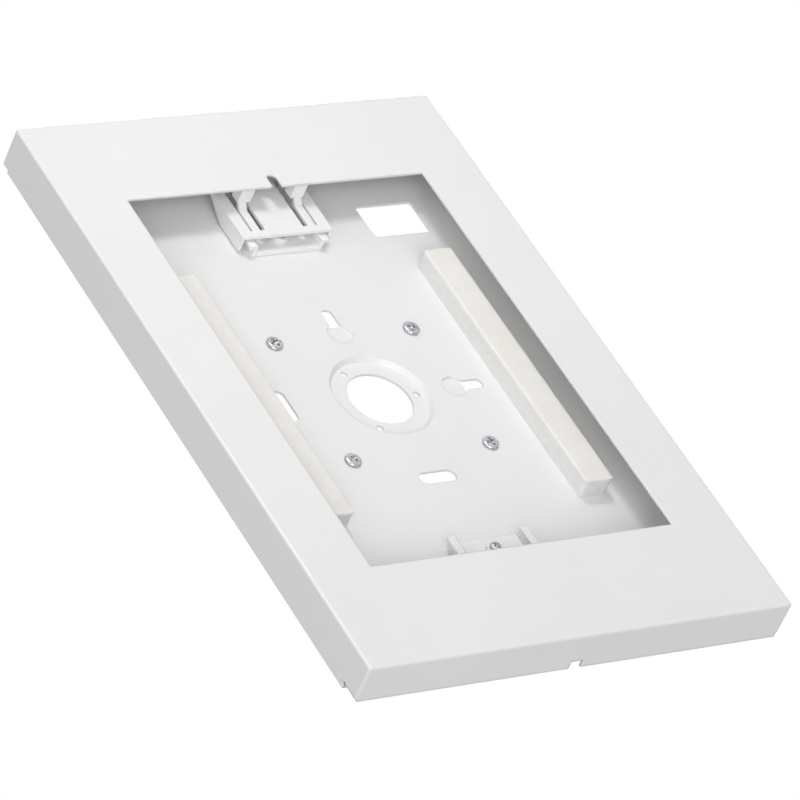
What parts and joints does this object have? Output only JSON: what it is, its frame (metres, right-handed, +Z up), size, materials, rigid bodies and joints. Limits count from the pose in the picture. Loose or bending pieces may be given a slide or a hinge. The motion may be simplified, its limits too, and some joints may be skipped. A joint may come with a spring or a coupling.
{
  "type": "tablet wall mount",
  "caption": "Lockable tablet wall mount: folded steel tray with foam pads and sliding holders on a wall plate, closed by a hooked cover with a viewing window.",
  "frame": {"origin": "middle of the wall plate's back face, which is also the middle of its wall screw pattern", "axes": "+Z up along the long side, the front faces -Y, the wall is the plane y = 0 with the wall on +Y, +X to the right as seen from the front"},
  "size_m": [0.2286, 0.025, 0.34],
  "materials": {
    "powder_coat": "satin",
    "holder_plastic": "satin",
    "foam": "matte",
    "zinc": "satin",
    "lock_metal": "gloss"
  },
  "bodies": {
    "mount": {"rear_tray": "powder_coat", "wall_plate": "powder_coat", "tray_screw_1": "zinc", "tray_screw_2": "zinc", "tray_screw_3": "zinc", "tray_screw_4": "zinc", "foam_pad_left": "foam", "foam_pad_right": "foam", "holder_base_top": "holder_plastic", "holder_screw_top": "zinc", "holder_nut_top": "zinc", "holder_base_bottom": "holder_plastic", "holder_screw_bottom": "zinc", "holder_nut_bottom": "zinc"},
    "cover": {"front_cover": "powder_coat", "lock_body": "lock_metal", "lock_nut": "lock_metal"},
    "lock_core": {"lock_plug": "lock_metal", "lock_cam": "lock_metal", "lock_cam_screw": "lock_metal"},
    "slider_top": {"holder_slider_top": "holder_plastic"},
    "slider_bottom": {"holder_slider_bottom": "holder_plastic"}
  },
  "joints": [
    {"name": "cover_swing", "type": "hinge", "parent": "mount", "child": "cover", "pos_m": [0, -0.003, 0.168], "axis": [-1, 0, 0], "range_deg": [0, 25]},
    {"name": "lock_turn", "type": "hinge", "parent": "cover", "child": "lock_core", "pos_m": [0.107, -0.014, -0.12], "axis": [1, 0, 0], "range_deg": [0, 90]},
    {"name": "slider_top_slide", "type": "slide", "parent": "mount", "child": "slider_top", "axis": [0, 0, 1], "range_m": [-0.002, 0.016]},
    {"name": "slider_bottom_slide", "type": "slide", "parent": "mount", "child": "slider_bottom", "axis": [0, 0, -1], "range_m": [-0.012, 0.006]}
  ]
}
